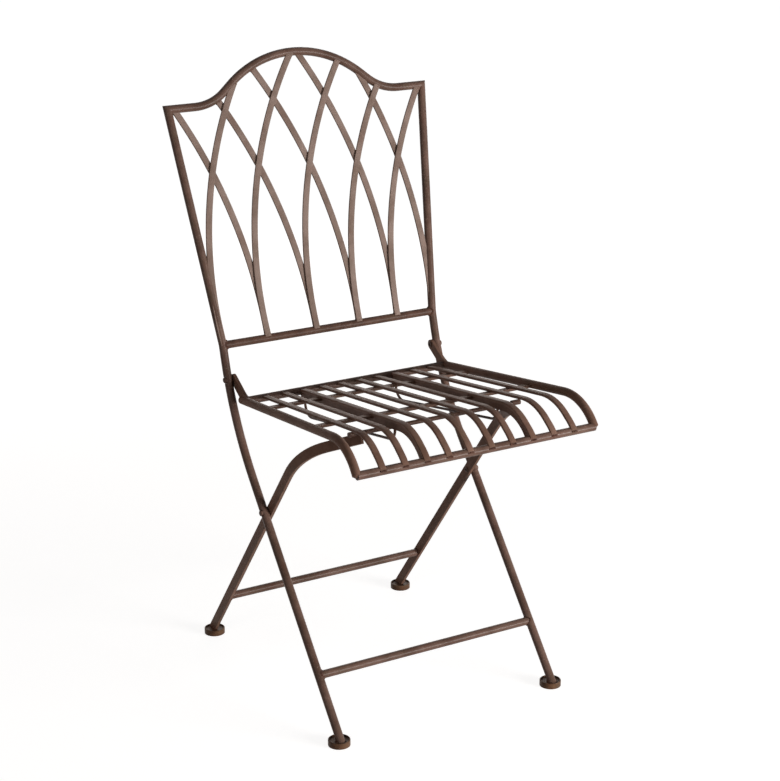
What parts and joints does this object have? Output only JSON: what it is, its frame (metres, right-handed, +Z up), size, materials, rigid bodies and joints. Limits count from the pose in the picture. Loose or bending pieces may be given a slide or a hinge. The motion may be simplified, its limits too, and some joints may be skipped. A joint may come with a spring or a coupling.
{
  "type": "folding metal garden chair",
  "caption": "Folding garden chair of painted steel bar with an arched lattice back, a slatted seat with a rolled front edge and crossed legs on round feet.",
  "frame": {"origin": "on the floor under the middle of the chair's bounding box", "axes": "+Z up, the front of the chair faces -Y, +X to the right seen from the front"},
  "size_m": [0.454, 0.5481, 0.9272],
  "materials": {
    "round_bar": "semi-matt dark brown paint with a rubbed bronze patina",
    "flat_strip": "semi-matt dark brown paint with a rubbed bronze patina",
    "wire_and_rod": "dark brown paint, thinner where parts slide",
    "feet": "dark brown paint, worn at the edge",
    "pivot_hardware": "dark brown paint over steel rivets and washers"
  },
  "bodies": {
    "back_frame": {"back_rail_right": "round_bar", "back_rail_left": "round_bar", "crest_rail": "round_bar", "back_lower_rail": "round_bar", "lattice_front_1": "flat_strip", "lattice_front_2": "flat_strip", "lattice_front_3": "flat_strip", "lattice_front_4": "flat_strip", "lattice_front_5": "flat_strip", "lattice_rear_1": "flat_strip", "lattice_rear_2": "flat_strip", "lattice_rear_3": "flat_strip", "lattice_rear_4": "flat_strip", "lattice_rear_5": "flat_strip", "front_stretcher": "round_bar", "front_foot_right": "feet", "front_foot_left": "feet", "cross_pivot_rivets": "pivot_hardware", "cross_pivot_washers": "pivot_hardware", "seat_pivot_rivets": "pivot_hardware", "seat_pivot_washers": "pivot_hardware"},
    "rear_leg_frame": {"rear_leg_right": "flat_strip", "rear_leg_left": "flat_strip", "rear_stretcher": "round_bar", "rear_foot_right": "feet", "rear_foot_left": "feet", "slide_rod_ends": "wire_and_rod"},
    "seat": {"seat_side_rail_right": "round_bar", "seat_side_rail_left": "round_bar", "seat_rear_rail": "round_bar", "seat_front_rail": "round_bar", "seat_slat_01": "flat_strip", "seat_slat_02": "flat_strip", "seat_slat_03": "flat_strip", "seat_slat_04": "flat_strip", "seat_slat_05": "flat_strip", "seat_slat_06": "flat_strip", "seat_slat_07": "flat_strip", "seat_slat_08": "flat_strip", "seat_slat_09": "flat_strip", "seat_slat_10": "flat_strip", "seat_crossbar_rear": "flat_strip", "seat_crossbar_middle": "flat_strip", "guide_bar_right": "flat_strip", "guide_bar_left": "flat_strip", "guide_wire_right": "wire_and_rod", "guide_wire_left": "wire_and_rod"},
    "slide_rod": {"top_slide_rod": "wire_and_rod"}
  },
  "joints": [
    {"name": "rear_leg_fold", "type": "hinge", "parent": "back_frame", "child": "rear_leg_frame", "pos_m": [0, 0.02952, 0.282], "axis": [-1, 0, 0], "range_deg": [0, 66]},
    {"name": "seat_fold", "type": "hinge", "parent": "back_frame", "child": "seat", "pos_m": [0, 0.14097, 0.4587], "axis": [-1, 0, 0], "range_deg": [0, 96.32]},
    {"name": "rod_slide", "type": "slide", "parent": "seat", "child": "slide_rod", "axis": [0, 0.9919, -0.1267], "range_m": [0, 0.24043]}
  ],
  "couplings": [
    {"joint": "seat_fold", "follows": "rear_leg_fold", "ratio": 1.4548},
    {"joint": "rod_slide", "follows": "rear_leg_fold", "m_per_rad": 0.2082}
  ]
}
